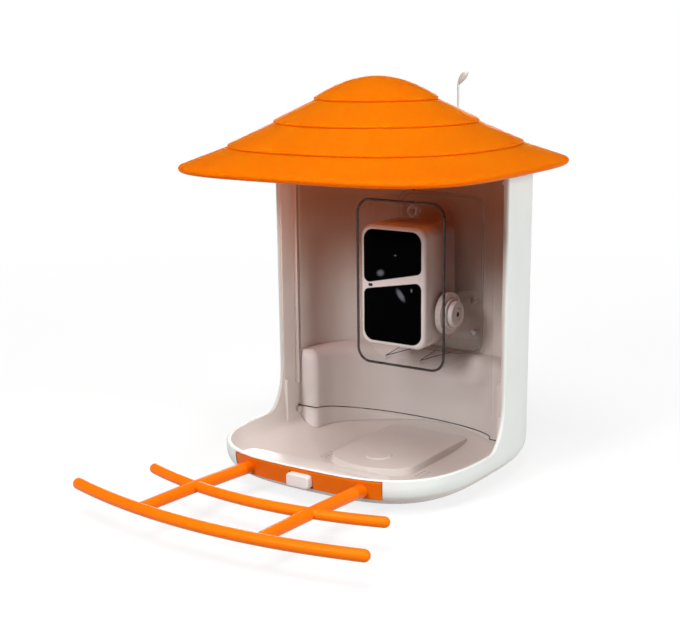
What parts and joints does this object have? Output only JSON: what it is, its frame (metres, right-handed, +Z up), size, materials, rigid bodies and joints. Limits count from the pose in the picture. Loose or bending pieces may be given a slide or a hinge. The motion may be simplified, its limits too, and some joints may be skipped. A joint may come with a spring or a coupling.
{
  "type": "smart bird feeder",
  "caption": "Bird feeder with a stepped hinged roof, a clear front panel over the seed hopper, a pocket holding a tilting camera, an open tray and a pull-off perch.",
  "frame": {"origin": "on the ground under the middle of the whole length, from the front of the outer perch bar to the back of the hanger wire", "axes": "+Z up, -Y towards the perch and the birds, +X to the right as seen from the front"},
  "size_m": [0.2428, 0.3424, 0.2908],
  "materials": {
    "white_shell": "satin moulded",
    "warm_white": "satin moulded",
    "white_camera": "satin moulded",
    "orange": "satin moulded",
    "bright_orange": "satin moulded",
    "clear_plastic": "clear polished",
    "black_glass": "glossy black, infrared passing",
    "lens_black": "black barrel",
    "white_lens": "milky",
    "amber_lens": "milky amber",
    "black_rubber": "matt",
    "grey_rubber": "matt",
    "green_board": "solder mask",
    "cell_wrap": "plain shrink wrap",
    "dark_metal": "dark",
    "dark_plastic": "matt",
    "brass": "knurled insert",
    "steel": "bright",
    "grey_metal": "grey painted wire"
  },
  "bodies": {
    "feeder_body": {"tub": "white_shell", "pole_socket_insert": "brass", "rear_socket_insert": "brass", "seed_chute": "warm_white", "clear_panel": "clear_plastic", "rear_hanger": "grey_metal", "roof_hinge_pin_left": "steel", "roof_hinge_pin_right": "steel", "camera_bracket": "warm_white", "bracket_screw_lower": "steel", "bracket_screw_upper": "steel"},
    "roof": {"roof": "orange"},
    "camera": {"camera_front_case": "white_camera", "camera_back_case": "white_camera", "upper_window": "black_glass", "lower_window": "black_glass", "case_seal": "black_rubber", "charging_port_cover": "grey_rubber", "main_board": "green_board", "camera_lens": "lens_black", "motion_sensor": "white_lens", "night_light_left": "white_lens", "night_light_right": "white_lens", "status_light_pipe": "amber_lens", "battery_cell_left": "cell_wrap", "battery_cell_right": "cell_wrap", "cell_holder": "dark_plastic", "speaker": "dark_metal", "friction_washer": "grey_rubber"},
    "knob": {"pivot_knob": "warm_white", "pivot_screw": "steel"},
    "perch": {"perch": "bright_orange", "button_spring": "steel"},
    "perch_button": {"perch_button": "warm_white"}
  },
  "joints": [
    {"name": "roof_hinge", "type": "hinge", "parent": "feeder_body", "child": "roof", "pos_m": [0, 0.1513, 0.2275], "axis": [-1, 0, 0], "range_deg": [0, 60]},
    {"name": "camera_tilt", "type": "hinge", "parent": "feeder_body", "child": "camera", "pos_m": [0, 0.1043, 0.11], "axis": [1, 0, 0], "range_deg": [-7, 15]},
    {"name": "knob_turn", "type": "hinge", "parent": "camera", "child": "knob", "pos_m": [0.03, 0.1043, 0.11], "axis": [1, 0, 0], "range_deg": [0, 360]},
    {"name": "perch_slide", "type": "slide", "parent": "feeder_body", "child": "perch", "axis": [0, -1, 0], "range_m": [0, 0.015]},
    {"name": "button_press", "type": "slide", "parent": "perch", "child": "perch_button", "axis": [0, 1, 0], "range_m": [0, 0.002], "stiffness_N_per_m": 300, "springref_m": -0.002, "deforming": ["button_spring"]}
  ]
}
